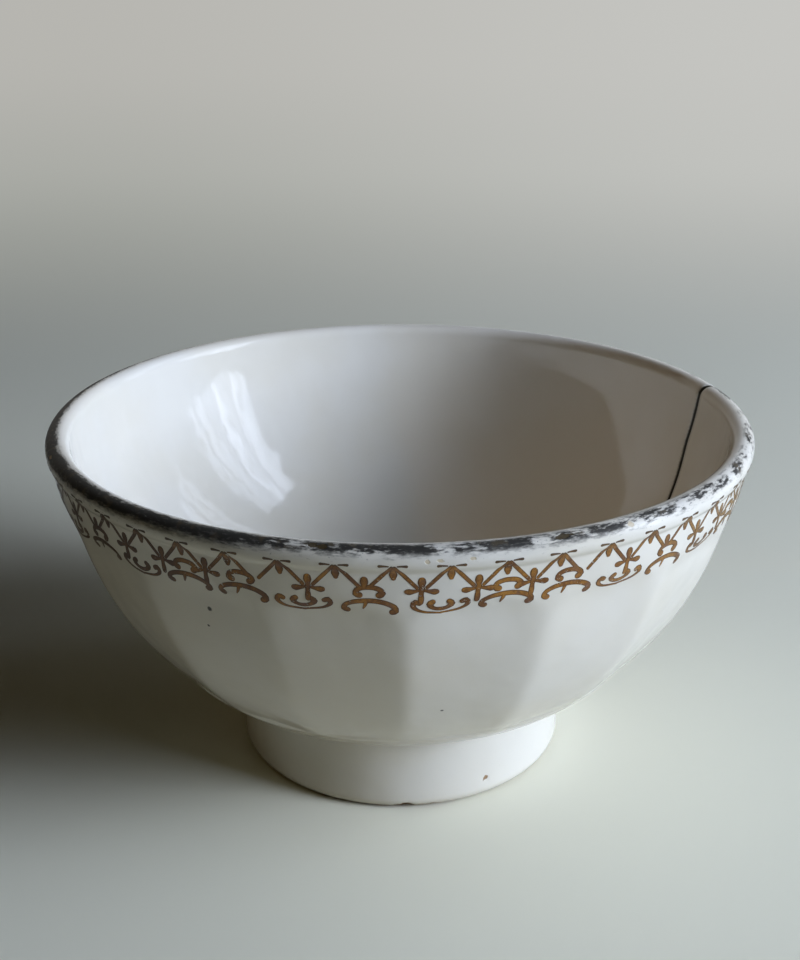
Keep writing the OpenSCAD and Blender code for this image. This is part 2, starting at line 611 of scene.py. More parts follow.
@dataclass(frozen=True)
class WornGlaze:
    """The clear glaze over the cream body, with its dark worn lip, crack, chips and specks."""

    form: BowlForm
    crack: CrackLine
    chips: tuple[Chip, ...]
    specks: tuple[Chip, ...]
    cream: Colour = (0.785, 0.755, 0.670)
    cool: Colour = (0.800, 0.780, 0.715)
    dark: Colour = (0.010, 0.009, 0.008)
    silver: Colour = (0.14, 0.135, 0.12)
    clay: Colour = (0.40, 0.27, 0.16)
    stain: Colour = (0.12, 0.085, 0.035)
    grime: Colour = (0.26, 0.245, 0.20)
    biscuit: Colour = (0.66, 0.56, 0.38)
    damp_clay: Colour = (0.22, 0.12, 0.055)
    flake_dark: Colour = (0.012, 0.008, 0.004)
    crack_dark: Colour = (0.016, 0.013, 0.005)

    # Each flake is its turn from the front, its angle up round the lip, its half length and half height
    DARK_FLAKES = ((-11.4, 66, 1.0, 0.5), (-10.0, 62, 0.9, 0.45), (21.8, 58, 1.5, 0.5), (171.0, 60, 1.2, 0.5))
    PALE_FLAKES = ((3.4, 8, 0.50, 0.32), (5.1, 10, 0.55, 0.28), (9.2, 12, 0.42, 0.26), (32.4, 48, 0.6, 0.6),
                   (-68.0, 40, 0.7, 0.4))

    def lip_wear(self, paint: Paint, ring: Value, turn: Value, tilt: Value) -> tuple[Value, Value]:
        """How much of the dark band is left at each place of the lip.

        Args:
            paint: The material's nodes.
            ring: The place along the lip and round it, in millimetres.
            turn: Turn from the front, from 0 at the back, through 0.5 at the front, to 1.
            tilt: Angle round the lip's own middle, from 0 outwards to 90 on top.

        Returns:
            Two masks from 0 to 1: the black band, and the grey smudge round it.
        """
        patches = paint.noise(paint.stretched(ring, (0.17, 0.17, 0.50)), 1.0, 3.0, 0.55)
        streaks = paint.noise(paint.stretched(ring, (0.62, 0.62, 2.2)), 1.0, 4.0, 0.62)
        cover = paint.ramp(turn, ((0.0, 0.20), (0.16, 0.55), (0.25, 0.92), (0.36, 0.96), (0.42, 0.86),
                                  (0.46, 0.66), (0.50, 0.62), (0.56, 0.60), (0.62, 0.52), (0.70, 0.46),
                                  (0.80, 0.36), (1.0, 0.20)))
        low = paint.ramp(turn, ((0.0, 0.60), (0.20, 0.36), (0.33, 0.38), (0.42, 0.46), (0.47, 0.56),
                                (0.54, 0.58), (0.70, 0.52), (1.0, 0.60))) * 100 - 20
        ragged = tilt + (streaks - 0.5) * 55 + (patches - 0.5) * 40
        band = paint.rise(ragged - low, -20, 16) * paint.fall(ragged, 82, 104)
        mottled = patches * 0.55 + streaks * 0.45
        black = band * paint.rise(mottled + cover * 0.46 - 0.735, -0.035, 0.06)
        haze = paint.rise(tilt - low, -55, 15) * paint.fall(tilt, 85, 122)
        smudge = haze * paint.rise(patches * 0.6 + streaks * 0.25 + cover * 0.42, 0.50, 0.86)
        dots = paint.noise(paint.stretched(ring, (1.5, 1.5, 3.0)), 1.0, 3.0, 0.6)
        black = paint.most(black, haze * paint.rise(dots + cover * 0.08, 0.70, 0.75) * 0.8)
        return black, smudge

    def flakes(self, paint: Paint, ring: Value, grain: Value) -> tuple[Value, Value]:
        """Marks the small flakes knocked off the lip.

        Args:
            paint: The material's nodes.
            ring: The place along the lip and round it, in millimetres.
            grain: Noise that makes their edges ragged.

        Returns:
            Two masks from 0 to 1: the dark flakes, and the pale ones.
        """
        masks = []
        for marks in (self.DARK_FLAKES, self.PALE_FLAKES):
            mask = None
            for turn, tilt, along, across in marks:
                a = math.radians(turn)
                middle = (self.form.rim_r * math.sin(a) / along, -self.form.rim_r * math.cos(a) / along,
                          tilt * self.form.lip_r * math.radians(1) / across)
                far = paint.distance(paint.stretched(ring, (1 / along, 1 / along, 1 / across)), middle)
                spot = paint.fall(far + (grain - 0.5) * 1.9, 0.80, 1.10)
                mask = spot if mask is None else paint.most(mask, spot)
            masks.append(mask)
        return masks[0], masks[1]

    def crack_marks(self, paint: Paint, place: Value, polar: tuple[Value, Value, Value, Value],
                    fine: Value) -> tuple[Value, Value]:
        """Marks the crack down the inside wall and over the lip.

        Args:
            paint: The material's nodes.
            place: The place on the piece.
            polar: Its distance from the axis, its height, its degrees from the front, and its angle
                round the lip's own middle.
            fine: Fine noise that breaks up the stain.

        Returns:
            Two masks from 0 to 1: the open line, and the stain that has seeped in beside it.
        """
        form, crack = self.form, self.crack
        r, z, degrees, tilt = polar
        away = abs(degrees - crack.at(z)) * r * math.radians(1)
        wobble = (paint.noise(place, 0.9, 2.0, 0.5) - 0.5) * 0.14
        skin = 1 - ((form.turn_h - z) / form.depth) ** form.fullness
        within = paint.fall(r - skin ** (1 / form.fullness) * form.rim_r, -3.2, -2.2)
        length = paint.rise(z, crack.end, crack.end + 9) * paint.most(within, paint.rise(tilt, 5, 25))
        open_line = paint.fall(away + wobble, crack.width * 0.50, crack.width * 0.80) * length
        seep = paint.fall(away, 0.3, 1.9) * length * paint.rise(fine, 0.3, 0.7) * 0.35
        return open_line, seep

    def bare_clay(self, paint: Paint, place: Value, r: Value, z: Value,
                  degrees: Value) -> tuple[Value, Value]:
        """Marks where the clay is bare: in the chips, and along the ring that the bowl stands on.

        Args:
            paint: The material's nodes.
            place: The place on the piece.
            r: Its distance from the axis.
            z: Its height.
            degrees: Its turn from the front.

        Returns:
            The mask from 0 to 1, and the grit of the clay.
        """
        bare = None
        for chip in self.chips:
            edge = paint.distance(place, chip.middle()) + (paint.noise(place, 1.4, 2.0, 0.5) - 0.5) * 0.9
            spot = paint.fall(edge, chip.size * 0.92, chip.size * 1.08)
            bare = spot if bare is None else paint.most(bare, spot)
        grit = paint.noise(place, 0.6, 4.0, 0.7)
        front = paint.rise(degrees, -16, -4) * paint.fall(degrees, 10, 24)
        sole = paint.fall(z + (grit - 0.5) * 1.8 - front * 0.45, 0.10, 0.50) * paint.rise(r, 24.0, 26.0)
        return paint.most(bare, sole), grit

    def material(self) -> bpy.types.Material:
        """Builds the material.

        Returns:
            The glaze with all its wear.
        """
        form = self.form
        paint = Paint(bpy.data.materials.new("worn_glaze"))
        place = paint.place()
        x, y, z = paint.split(place)
        r = (x * x + y * y) ** 0.5
        degrees = paint.math("ARCTAN2", x, y * -1.0) * math.degrees(1)
        turn = degrees / 360 + 0.5
        tilt = paint.math("ARCTAN2", z - form.lip_mid_h, r - form.lip_mid_r) * math.degrees(1)

        cloud = paint.noise(place, 0.045, 3.0, 0.5)
        fine = paint.noise(place, 2.6, 3.0, 0.6)
        colour = paint.mix(paint.rise(cloud, 0.35, 0.65), self.cream, self.cool)
        colour = paint.mix(paint.rise(fine, 0.62, 0.80) * 0.10, colour, self.stain)

        ring = paint.join(x / r * form.rim_r, y / r * form.rim_r, tilt * (form.lip_r * math.radians(1)))
        worn, smudge = self.lip_wear(paint, ring, turn, tilt)
        metal = paint.rise(paint.noise(paint.stretched(ring, (0.8, 0.8, 2.0)), 1.0, 3.0, 0.6), 0.54, 0.70)
        soot = paint.mix(metal * 0.6, self.dark, self.silver)
        brown = paint.rise(paint.noise(place, 0.5, 2.0, 0.5), 0.55, 0.70)
        soot = paint.mix(brown * 0.4, soot, self.stain)
        colour = paint.mix(smudge * 0.42, colour, self.grime)
        colour = paint.mix(worn * 0.95, colour, soot)
        dark_flakes, pale_flakes = self.flakes(paint, ring, paint.noise(place, 1.6, 2.0, 0.5))
        colour = paint.mix(dark_flakes * 0.9, colour, paint.mix(fine, self.flake_dark, self.stain))
        colour = paint.mix(pale_flakes * 0.8, colour, self.biscuit)

        open_line, seep = self.crack_marks(paint, place, (r, z, degrees, tilt), fine)
        colour = paint.mix(seep, colour, self.stain)
        colour = paint.mix(open_line, colour, self.crack_dark)
        for speck in self.specks:
            near = paint.distance(place, speck.middle()) + (fine - 0.5) * 0.35
            colour = paint.mix(paint.fall(near, speck.size * 0.7, speck.size * 1.15) * 0.92, colour, self.dark)

        bare, grit = self.bare_clay(paint, place, r, z, degrees)
        body = paint.mix(paint.rise(grit, 0.3, 0.7), self.clay, self.damp_clay)
        colour = paint.mix(bare, colour, body)
        rough = 0.045 + cloud * 0.03 + worn * 0.5 + bare * 0.6 + open_line * 0.5
        ripple = paint.bump(paint.noise(place, 0.075, 2.0, 0.5), 0.35)
        skin_bump = paint.bump(fine, 0.006, ripple)
        relief = paint.bump(worn * 0.4 + bare * grit - dark_flakes * 2.5 - pale_flakes, 0.06, skin_bump)
        return paint.shader({"Base Color": colour, "Roughness": rough, "Metallic": worn * metal * 0.2,
                             "Normal": relief, "IOR": 1.5})


@dataclass(frozen=True)
class WornGilding:
    """The worn gilt of the frieze: bronze gold, browner where it has rubbed thin, with painted shade darkening
    it on the left.
    """

    gold: Colour = (0.46, 0.215, 0.040)
    brown: Colour = (0.17, 0.066, 0.018)
    outline: Colour = (0.040, 0.018, 0.008)
    grey: Colour = (0.060, 0.055, 0.042)
    dull: Colour = (0.26, 0.195, 0.095)
    # Dark brown painted over the gold on the left as shade
    painted_shade_umber: Colour = (0.075, 0.034, 0.016)
    mauve: Colour = (0.17, 0.095, 0.075)

    def material(self) -> bpy.types.Material:
        """Builds the material, whose gold is painted dark brown on the left as shade, and duller on the right.

        Returns:
            The gilding.
        """
        paint = Paint(bpy.data.materials.new("worn_gilding"))
        place = paint.place()
        x, y, z = paint.split(place)
        degrees = paint.math("ARCTAN2", x, y * -1.0) * math.degrees(1)
        patches = paint.noise(place, 0.28, 3.0, 0.55)
        grain = paint.noise(place, 2.2, 4.0, 0.65)
        shade = paint.rise(patches * 0.6 + grain * 0.4, 0.40, 0.66)
        colour = paint.mix(shade, self.brown, self.gold)
        colour = paint.mix(paint.rise(degrees + patches * 20, 32, 88) * 0.65, colour, self.dull)
        # Painted shade: the gold turns dark brown towards the left, the side away from the light
        colour = paint.mix(paint.fall(degrees + patches * 20, -38, 10) * 0.92, colour, self.painted_shade_umber)
        across = paint.split(paint.add("UVMap", {"uv_map": "UVMap"}))[1]
        edge = paint.rise(abs(across - 0.5) + (grain - 0.5) * 0.22, 0.27, 0.44)
        colour = paint.mix(edge * 0.75, colour, self.outline)
        bloom = paint.rise(paint.noise(place, 0.42, 2.0, 0.5), 0.58, 0.70)
        colour = paint.mix(bloom * 0.45, colour, self.mauve)
        peaks = paint.rise(z + (patches - 0.5) * 1.2, 69.45, 69.75)
        colour = paint.mix(peaks * 0.65, colour, self.grey)
        wear = paint.noise(place, 1.3, 4.0, 0.7) * 0.75 + paint.noise(place, 0.16, 1.0, 0.5) * 0.25
        rubbed = paint.rise(wear, 0.590, 0.645)
        return paint.shader({"Base Color": colour, "Metallic": 0.12 + shade * 0.30,
                             "Roughness": 0.45 - shade * 0.12, "Alpha": 1 - rubbed * 0.85,
                             "Normal": paint.bump(grain, 0.02)})


@dataclass
class BowlBody:
    """The one piece of glazed clay: foot, wall and lip.

    Args:
        form: Its sizes and curves.
        crack: The line of its crack.
        chips: The flakes out of its foot.
        specks: The black specks in its glaze.
        columns: How many steps the section is spun through.
        batch: How many vertices are matched to the section at a time.
        draw_in: How strongly columns are drawn in to the crack, from 0 to 1.
    """

    form: BowlForm
    crack: CrackLine
    chips: tuple[Chip, ...]
    specks: tuple[Chip, ...]
    columns: int = 432
    batch: int = 8000
    draw_in: float = 0.86

    def spin_section(self) -> bpy.types.Object:
        """Draws the half section point by point and spins it once round the axis.

        Returns:
            The round bowl.
        """
        clear_selection()
        points = self.form.section()
        bpy.ops.mesh.primitive_plane_add(size=MM, location=(0, 0, points[0][1] * MM))
        piece = bpy.context.object
        piece.name = piece.data.name = "glazed_bowl"
        bpy.ops.object.transform_apply(location=True)
        bpy.ops.object.mode_set(mode="EDIT")
        bpy.ops.mesh.select_all(action="SELECT")
        bpy.ops.mesh.merge(type="CENTER")
        for (r0, z0), (r1, z1) in zip(points, points[1:]):
            bpy.ops.mesh.extrude_region_move(
                TRANSFORM_OT_translate={"value": ((r1 - r0) * MM, 0, (z1 - z0) * MM)})
        bpy.ops.mesh.select_all(action="SELECT")
        bpy.ops.mesh.spin(steps=self.columns, angle=2 * math.pi, center=(0, 0, 0), axis=(0, 0, 1))
        bpy.ops.mesh.select_all(action="SELECT")
        bpy.ops.mesh.remove_doubles(threshold=0.004 * MM)
        bpy.ops.mesh.normals_make_consistent(inside=False)
        bpy.ops.object.mode_set(mode="OBJECT")
        return piece

    def rows_of(self, spots: np.ndarray) -> np.ndarray:
        """Finds which point of the section each vertex was spun from.

        Args:
            spots: The vertices.

        Returns:
            The number of that point, for each vertex.
        """
        section = np.array(self.form.section())
        r = np.hypot(spots[:, 0], spots[:, 1])
        rows = np.empty(len(spots), dtype=int)
        for start in range(0, len(spots), self.batch):
            part = slice(start, start + self.batch)
            gap = ((r[part, None] - section[None, :, 0]) ** 2
                   + (spots[part, 2, None] - section[None, :, 1]) ** 2)
            rows[part] = gap.argmin(axis=1)
        return rows

    def crowd_edges(self, turn: np.ndarray, z: np.ndarray) -> np.ndarray:
        """Moves the outside's columns closer to the edges between the panels.

        Args:
            turn: Degrees from the front, for each vertex.
            z: Height of each vertex.

        Returns:
            The new degrees.
        """
        form = self.form
        pitch = 360 / form.panels
        squeeze = 0.55 * ease(z, form.base_h, form.panel_h) * (1 - ease(z, form.fade_from, form.fade_from + 8))
        lean = np.radians((turn - form.panel_turn) * form.panels)
        return turn - squeeze * np.sin(lean) * pitch / (2 * math.pi)

    def crowd_crack(self, turn: np.ndarray, z: np.ndarray, close: np.ndarray) -> np.ndarray:
        """Moves the inside's columns closer to the crack and leads them along it.

        Args:
            turn: Degrees from the front, for each vertex.
            z: Height of each vertex.
            close: How strongly each vertex is drawn in.

        Returns:
            The new degrees.
        """
        crack = self.crack
        off = turn - crack.turn
        near = off * (1 - close * np.exp(-(off / 3.0) ** 2))
        share = np.where(close > 0, close / self.draw_in, 0)
        drift = (crack.at(z) - crack.turn) * np.exp(-(off / 26.0) ** 2) * share
        return crack.turn + near + drift

    @staticmethod
    def knock_out(spots: np.ndarray, chip: Chip) -> np.ndarray:
        """Hollows one chip out of the surface.

        Args:
            spots: The vertices.
            chip: The chip.

        Returns:
            The vertices with the chip's hollow in them.
        """
        middle = np.array(chip.middle())
        away = spots - middle
        far = np.linalg.norm(away, axis=1)
        rough = 1 + 0.10 * np.sin(spots[:, 0] * 5.1 + chip.turn) * np.cos(spots[:, 2] * 6.3 + spots[:, 1] * 4.0)
        reach = chip.size * rough
        inward = -np.array([middle[0], middle[1], 0.0]) / chip.radius
        lift = np.array([0.0, 0.0, 1.0 if chip.height < 10 else -1.0])
        into = inward + lift * 0.7
        into /= np.linalg.norm(into)
        depth = np.sqrt(np.clip(reach ** 2 - (far ** 2 - (away @ into) ** 2), 0, None))
        push = np.where(far < reach, np.clip(depth * 0.8 - (away @ into), 0, None), 0)
        return spots + push[:, None] * into

    def shape(self, piece: bpy.types.Object) -> None:
        """Gives the round bowl its panels, its crack and its chips.

        Args:
            piece: The round bowl.
        """
        form, crack = self.form, self.crack
        spots = spots_of(piece)
        rows = self.rows_of(spots)
        section = np.array(form.section())
        along = np.gradient(section, axis=0)
        along /= np.linalg.norm(along, axis=1)[:, None]
        r, z = section[rows, 0], section[rows, 1]
        turn = angle_from_front(spots[:, 0], spots[:, 1])
        top = int(np.argmax(section[:, 1]))
        outer = (rows < top) & (z > form.base_h)
        inner = rows >= top - 12

        turn = np.where(outer, self.crowd_edges(turn, z), turn)
        close = (self.draw_in * ease(z, crack.end - 6, crack.end + 2) * np.where(inner, 1.0, 0.0)
                 * ease(rows, top - 12, top - 6))
        turn = np.where(inner, self.crowd_crack(turn, z, close), turn)

        r = np.where(outer & (z < form.fade_from + 9.5), form.panelled(r, z, turn), r)
        a = np.radians(turn)
        gap = np.radians(np.abs(turn - crack.at(z))) * np.maximum(r, 1)
        dip = crack.depth * np.clip(1 - (gap / (crack.width * 0.55)) ** 2, 0, 1)
        dip *= ease(z, crack.end, crack.end + 8) * np.where(inner, 1.0, 0.0) * ease(rows, top - 10, top - 4)
        out_r, out_z = along[rows, 1], -along[rows, 0]
        r = r - out_r * dip
        z = z - out_z * dip
        spots = np.stack([r * np.sin(a), -r * np.cos(a), z], axis=1)
        for chip in self.chips:
            spots = self.knock_out(spots, chip)
        spots[:, 2] = np.clip(spots[:, 2], 0.0, form.height)
        move_spots(piece, spots)

    def build(self) -> bpy.types.Object:
        """Builds and dresses the bowl's body.

        Returns:
            The finished piece.
        """
        piece = self.spin_section()
        self.shape(piece)
        clear_selection()
        bpy.context.view_layer.objects.active = piece
        piece.select_set(True)
        bpy.ops.object.shade_smooth()
        piece.data.materials.append(WornGlaze(self.form, self.crack, self.chips, self.specks).material())
        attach(piece, "root")
        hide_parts("bowl")
        return piece


@dataclass(frozen=True)
class Stroke:
    """One brush mark of the frieze, from point to point.

    Args:
        points: (across, down, width) in millimetres; down is counted from the zigzag's peaks.
        lift: How far its middle stands off the glaze.
    """

    points: tuple[tuple[float, float, float], ...]
    lift: float = 0.03

    def moved(self, across: float, down: float = 0.0, flip: bool = False) -> "Stroke":
        """Copies the mark to another place.

        Args:
            across: How far it is moved along.
            down: How far it is moved up.
            flip: Whether it is mirrored first.

        Returns:
            The copy.
        """
        way = -1 if flip else 1
        return Stroke(tuple((across + x * way, y + down, w) for x, y, w in self.points), self.lift)

    def sampled(self, step: float = 0.42) -> np.ndarray:
        """Draws the smooth line through the points, with widths that round off both ends.

        Args:
            step: Length from one point to the next.

        Returns:
            One row for each point: across, down and width.
        """
        keys = np.array(self.points)
        keys = np.vstack([2 * keys[0] - keys[1], keys, 2 * keys[-1] - keys[-2]])
        line = []
        for i in range(1, len(keys) - 2):
            a, b, c, d = keys[i - 1:i + 3]
            count = max(2, int(math.hypot(*(c - b)[:2]) / step) + 1)
            for t in np.arange(count) / count:
                line.append(0.5 * (2 * b + (c - a) * t + (2 * a - 5 * b + 4 * c - d) * t * t
                                   + (3 * b - a - 3 * c + d) * t ** 3))
        line.append(keys[-2])
        line = np.array(line)
        line[:, 2] = np.clip(line[:, 2], min(self.points, key=lambda p: p[2])[2], None)
        heading = line[1] - line[0]
        start = self._cap(line[0], -heading)
        heading = line[-1] - line[-2]
        end = self._cap(line[-1], heading)
        return np.vstack([start[::-1], line, end])

    @staticmethod
    def _cap(tip: np.ndarray, heading: np.ndarray) -> np.ndarray:
        """Rounds off one end.

        Args:
            tip: The last point, with its width.
            heading: The way that the line goes there.

        Returns:
            The points, going away from the tip.
        """
        way = heading[:2] / np.linalg.norm(heading[:2])
        half = tip[2] / 2
        out = []
        for a in np.radians([30, 55, 75, 88]):
            spot = tip[:2] + way * half * math.sin(a)
            out.append([spot[0], spot[1], tip[2] * math.cos(a)])
        return np.array(out)


class StampedMarks:
    """The marks of one stamp of the frieze, which runs over six peaks of the zigzag."""

    DASH = Stroke(((0.72, 0.02, 0.26), (1.4, 0.06, 0.36), (2.1, 0.05, 0.50)), 0.022)
    LEFT_LEG = Stroke(((-0.22, -0.22, 0.60), (-1.5, -1.75, 0.70), (-3.7, -4.1, 0.66)), 0.020)
    RIGHT_LEG = Stroke(((0.22, -0.25, 0.64), (1.5, -1.7, 0.72), (3.7, -4.1, 0.70)), 0.024)
    DROP = Stroke(((0.05, -0.6, 0.6), (0.02, -1.2, 1.12), (0.05, -1.85, 1.34), (0.08, -2.4, 0.86)), 0.028)
    TOP_PETAL = Stroke(((0.0, -4.0, 0.85), (0.0, -3.3, 1.36), (0.0, -2.85, 1.26)), 0.030)
    SIDE_PETAL = Stroke(((0.3, -4.64, 0.5), (1.15, -4.84, 0.74), (1.95, -4.95, 1.14), (2.3, -4.93, 1.0)), 0.026)
    STEM = Stroke(((0.0, -4.4, 1.05), (-0.08, -5.3, 0.80), (-0.1, -6.2, 0.98), (-0.16, -6.95, 0.92)), 0.034)
    SMALL_SMILE = Stroke(((-1.35, -7.0, 1.05), (-1.78, -7.45, 1.20), (-1.15, -8.18, 0.74), (0.0, -8.40, 0.82),
                          (1.15, -8.1, 0.80), (1.8, -7.4, 1.18), (1.4, -6.95, 1.05)), 0.022)
    SMILE_LEFT = Stroke(((-3.5, -7.2, 0.95), (-4.1, -7.0, 1.05), (-4.5, -7.65, 0.98), (-3.9, -8.38, 0.64),
                         (-2.6, -8.92, 0.46), (0.1, -9.26, 0.38)), 0.024)
    SMILE_RIGHT = Stroke(((3.5, -7.1, 0.95), (4.1, -6.9, 1.08), (4.45, -7.55, 0.96), (3.9, -8.26, 0.62),
                          (2.6, -8.82, 0.46), (-0.2, -9.24, 0.36)), 0.026)
    SMALL_ARCH = Stroke(((-1.62, -5.25, 1.2), (-2.15, -5.0, 1.12), (-1.9, -4.25, 0.92), (-0.9, -3.84, 0.92),
                         (0.3, -3.78, 0.94), (1.5, -4.05, 0.98), (2.15, -4.8, 1.14),
                         (1.65, -5.22, 1.25)), 0.022)
    LARGE_ARCH = Stroke(((-3.7, -8.38, 1.1), (-4.2, -8.1, 1.10), (-3.9, -7.28, 0.88), (-2.6, -6.66, 0.90),
                         (-0.9, -6.36, 0.96), (0.9, -6.36, 0.98), (2.6, -6.74, 0.98), (3.95, -7.45, 1.05),
                         (4.15, -8.2, 1.25), (3.7, -8.45, 1.15)), 0.024)
    TOOTH = Stroke(((-0.55, -6.6, 0.75), (-0.75, -7.3, 0.56), (-1.05, -7.95, 0.30)), 0.028)

    SCROLLS = ((Kind.SMILE, -0.11, 0.0), (Kind.ARCH, 1.08, -0.42), (Kind.SMILE, 2.34, 0.05),
               (Kind.ARCH, 3.54, 0.0), (Kind.ARCH, 4.72, 0.1))
    FLOWERS = (0, 1, 2, 3, 4)
    HIDDEN_FLOWER = 1

    def __init__(self, pitch: float) -> None:
        """Keeps the distance between two peaks, in millimetres."""
        self.pitch = pitch

    def marks(self) -> list[Stroke]:
        """Lays out one stamp.

        Returns:
            Every mark of it, counted from the valley before its first peak.
        """
        out: list[Stroke] = []
        for i in range(6):
            peak = (i + 0.5) * self.pitch
            legs = [self.LEFT_LEG, self.RIGHT_LEG]
            out += [mark.moved(peak) for mark in (*legs, self.DROP, self.DASH)]
            out.append(self.DASH.moved(peak, 0.0, flip=True))
        for i in self.FLOWERS:
            valley = i * self.pitch
            out.append(self.TOP_PETAL.moved(valley))
            if i != self.HIDDEN_FLOWER:
                out += [self.SIDE_PETAL.moved(valley), self.SIDE_PETAL.moved(valley, 0.0, flip=True),
                        self.STEM.moved(valley)]
        for kind, at, down in self.SCROLLS:
            middle = at * self.pitch
            shapes = {Kind.SMILE: (self.SMALL_SMILE, self.SMILE_LEFT, self.SMILE_RIGHT),
                      Kind.ARCH: (self.SMALL_ARCH, self.LARGE_ARCH, self.TOOTH)}[kind]
            out += [mark.moved(middle, down) for mark in shapes]
        return out


@dataclass
class GiltFrieze:
    """The stamped gilt frieze that runs round under the lip.

    Args:
        form: The bowl that it lies on.
        peak_h: Height of the zigzag's peaks.
        start: Turn from the front at which a stamp starts.
        stamps: How many stamps go round.
        peaks: Peaks in one stamp.
        thick: Thickness of the gilt and its sunk underside.
        wall_r: Radius of the wall there, by which the marks are spaced.
        crown: How far the middle of a mark stands above its edges.
    """

    form: BowlForm
    peak_h: float = 69.8
    start: float = -12.2
    stamps: int = 8
    peaks: int = 6
    thick: float = 0.07
    wall_r: float = 69.5
    crown: float = 0.012

    @property
    def degrees_each(self) -> float:
        """Turn taken by one stamp."""
        return 360 / self.stamps

    @property
    def pitch(self) -> float:
        """Distance between two peaks, in millimetres round the wall."""
        return math.radians(self.degrees_each / self.peaks) * self.wall_r

    def lay_mark(self, mark: Stroke) -> bpy.types.Object:
        """Makes one mark as a flat strip.

        Args:
            mark: The mark.

        Returns:
            The strip, whose axes are across, down and lift.
        """
        line = mark.sampled()
        bpy.ops.mesh.primitive_grid_add(x_subdivisions=len(line) - 1, y_subdivisions=2, size=MM)
        piece = bpy.context.object
        spots = spots_of(piece)
        column = np.rint((spots[:, 0] + 0.5) * (len(line) - 1)).astype(int)
        side = np.rint(spots[:, 1] * 2)
        heading = np.gradient(line[:, :2], axis=0)
        heading /= np.linalg.norm(heading, axis=1)[:, None]
        offset = side * line[column, 2] / 2
        crown = self.crown * (1 - np.abs(side))
        move_spots(piece, np.stack([line[column, 0] - heading[column, 1] * offset,
                                    line[column, 1] + heading[column, 0] * offset,
                                    mark.lift + crown], axis=1))
        return piece

    def wrap(self, spots: np.ndarray) -> np.ndarray:
        """Lays flat marks on the wall.

        Args:
            spots: Places as across, down and lift, in millimetres.

        Returns:
            The places on the bowl.
        """
        turn = self.start + spots[:, 0] / self.pitch * (self.degrees_each / self.peaks)
        z = self.peak_h + spots[:, 1]
        r = self.form.outside(turn, z)
        rise = (self.form.outside(turn, z + 0.05) - self.form.outside(turn, z - 0.05)) / 0.1
        steep = np.sqrt(1 + rise ** 2)
        r = r + spots[:, 2] / steep
        z = z - spots[:, 2] * rise / steep
        a = np.radians(turn)
        return np.stack([r * np.sin(a), -r * np.cos(a), z], axis=1)

    def build(self) -> bpy.types.Object:
        """Builds and dresses the frieze.

        Returns:
            The finished piece.
        """
        clear_selection()
        strips = [self.lay_mark(mark) for mark in StampedMarks(self.pitch).marks()]
        clear_selection()
        for strip in strips:
            strip.select_set(True)
        bpy.context.view_layer.objects.active = strips[0]
        bpy.ops.object.join()
        stamp = bpy.context.object
        flat = spots_of(stamp)
        copies = [stamp]
        for _ in range(1, self.stamps):
            clear_selection()
            stamp.select_set(True)
            bpy.context.view_layer.objects.active = stamp
            bpy.ops.object.duplicate(linked=False)
            copies.append(bpy.context.object)
        for i, copy in enumerate(copies):
            moved = flat.copy()
            moved[:, 0] += i * self.peaks * self.pitch + 0.10 * math.sin(i * 2.3)
            moved[:, 1] += 0.06 * np.sin(flat[:, 0] * 0.21 + i * 1.7)
            move_spots(copy, self.wrap(moved))
        clear_selection()
        for copy in copies:
            copy.select_set(True)
        bpy.context.view_layer.objects.active = stamp
        bpy.ops.object.join()
        piece = bpy.context.object
        piece.name = piece.data.name = "gilt_frieze"
        thicken = piece.modifiers.new("thicken", "SOLIDIFY")
        thicken.thickness = self.thick * MM
        thicken.offset = -1.0
        bpy.ops.object.modifier_apply(modifier=thicken.name)
        bpy.ops.object.shade_smooth_by_angle(angle=math.radians(50))
        piece.data.materials.append(WornGilding().material())
        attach(piece, "root")
        return piece


@dataclass(frozen=True)
class PalePaper:
    """The pale grey paper that the bowl stands on."""

    colour: Colour = (0.905, 0.895, 0.755)
    shade: Colour = (0.840, 0.830, 0.690)
    # Darker, warmer paper colour seen only by bounce light, as painted shade on the bowl's shaded side
    painted_bounce_shade: Colour = (0.60, 0.55, 0.40)
    # Backdrop greys: painted light, lighter further back and on the right where the window light falls
    middle: Colour = (0.385, 0.395, 0.365)
    far: Colour = (0.50, 0.49, 0.46)
    right: Colour = (0.64, 0.645, 0.625)
    eye_back: float = 250.0
    eye_up: float = 154.5

    def material(self) -> bpy.types.Material:
        """Builds the material, whose far part shows as a pale grey glow, painted lighter further back and
        lighter to the right where the window light falls.

        Returns:
            The paper.
        """
        paint = Paint(bpy.data.materials.new("pale_paper"))
        place = paint.place()
        x, y = paint.split(place)[:2]
        cloud = paint.noise(place, 0.006, 2.0, 0.5)
        tone = paint.mix(cloud * 0.5, self.colour, self.shade)
        back = paint.most(y + self.eye_back, 1.0)
        slant = self.eye_up / back
        # Painted light on the backdrop's glow: lighter further back, and lighter to the right where the window
        # light falls
        backdrop = paint.mix(paint.fall(slant, 0.015, 0.19), self.middle, self.far)
        backdrop = paint.mix(paint.rise(x / back, -0.30, 0.34) * 0.60, backdrop, self.right)
        seen = paint.most(paint.add("LightPath", out="Is Camera Ray"),
                          paint.add("LightPath", out="Is Glossy Ray"))
        # Painted shade: light thrown back from the paper takes the darker, warmer colour, while the camera and
        # reflections see the pale paper
        tone = paint.mix(seen, self.painted_bounce_shade, tone)
        return paint.shader({"Base Color": tone, "Roughness": 0.7, "Specular IOR Level": 0.25},
                            backdrop, seen * paint.fall(slant, 0.13, 0.31) * 0.97)


